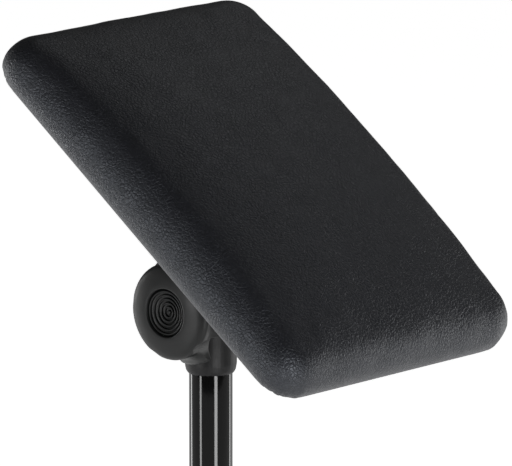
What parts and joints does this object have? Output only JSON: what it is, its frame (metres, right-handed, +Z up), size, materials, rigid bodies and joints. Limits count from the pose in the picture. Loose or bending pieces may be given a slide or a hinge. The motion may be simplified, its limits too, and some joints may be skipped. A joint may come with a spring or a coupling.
{
  "type": "tilting padded rest",
  "caption": "Leatherette-covered rectangular padded rest on a bracket that tilts on a lockable head at the top of a round post, clamped by a lobed hand knob.",
  "frame": {"origin": "centre of the post's lower end face", "axes": "+Z up the post, +X towards the pad's low end, -Y towards the clamp knob; the tilt axis is parallel to Y and crosses the post's axis"},
  "size_m": [0.2505, 0.229, 0.4173],
  "materials": {
    "gloss_black": "gloss",
    "black_plastic": "satin",
    "leatherette": "satin",
    "foam": "matte",
    "plywood": "matte",
    "dust_fabric": "matte",
    "zinc_steel": "satin",
    "brass": "satin",
    "nylon": "satin"
  },
  "bodies": {
    "post": {"post_tube": "gloss_black", "post_end_plug": "black_plastic", "post_head": "black_plastic", "head_screw_1": "zinc_steel", "head_screw_2": "zinc_steel", "pivot_bush": "brass", "friction_washer_knob_side": "nylon", "friction_washer_far_side": "nylon"},
    "pad": {"pad_fork": "black_plastic", "clamp_bolt": "zinc_steel", "plate_bolt_1": "zinc_steel", "plate_bolt_2": "zinc_steel", "plate_bolt_3": "zinc_steel", "plate_bolt_4": "zinc_steel", "lock_washer_1": "zinc_steel", "lock_washer_2": "zinc_steel", "lock_washer_3": "zinc_steel", "lock_washer_4": "zinc_steel", "t_nut_1": "zinc_steel", "t_nut_2": "zinc_steel", "t_nut_3": "zinc_steel", "t_nut_4": "zinc_steel", "base_board": "plywood", "foam_core": "foam", "pad_cover": "leatherette", "dust_cloth": "dust_fabric"},
    "washer": {"thrust_washer": "zinc_steel"},
    "knob": {"knob_body": "black_plastic", "knob_insert": "brass", "knob_cap": "black_plastic"}
  },
  "joints": [
    {"name": "pad_tilt", "type": "hinge", "parent": "post", "child": "pad", "pos_m": [0, 0, 0.24], "axis": [0, 1, 0], "range_deg": [-128.2, 51.8]},
    {"name": "knob_travel", "type": "slide", "parent": "pad", "child": "washer", "axis": [0, -1, 0], "range_m": [0, 0.0025]},
    {"name": "knob_turn", "type": "hinge", "parent": "washer", "child": "knob", "pos_m": [0, 0, 0.24], "axis": [0, -1, 0], "range_deg": [0, 720]}
  ],
  "couplings": [
    {"joint": "knob_travel", "follows": "knob_turn", "m_per_rad": 0.00019894}
  ]
}
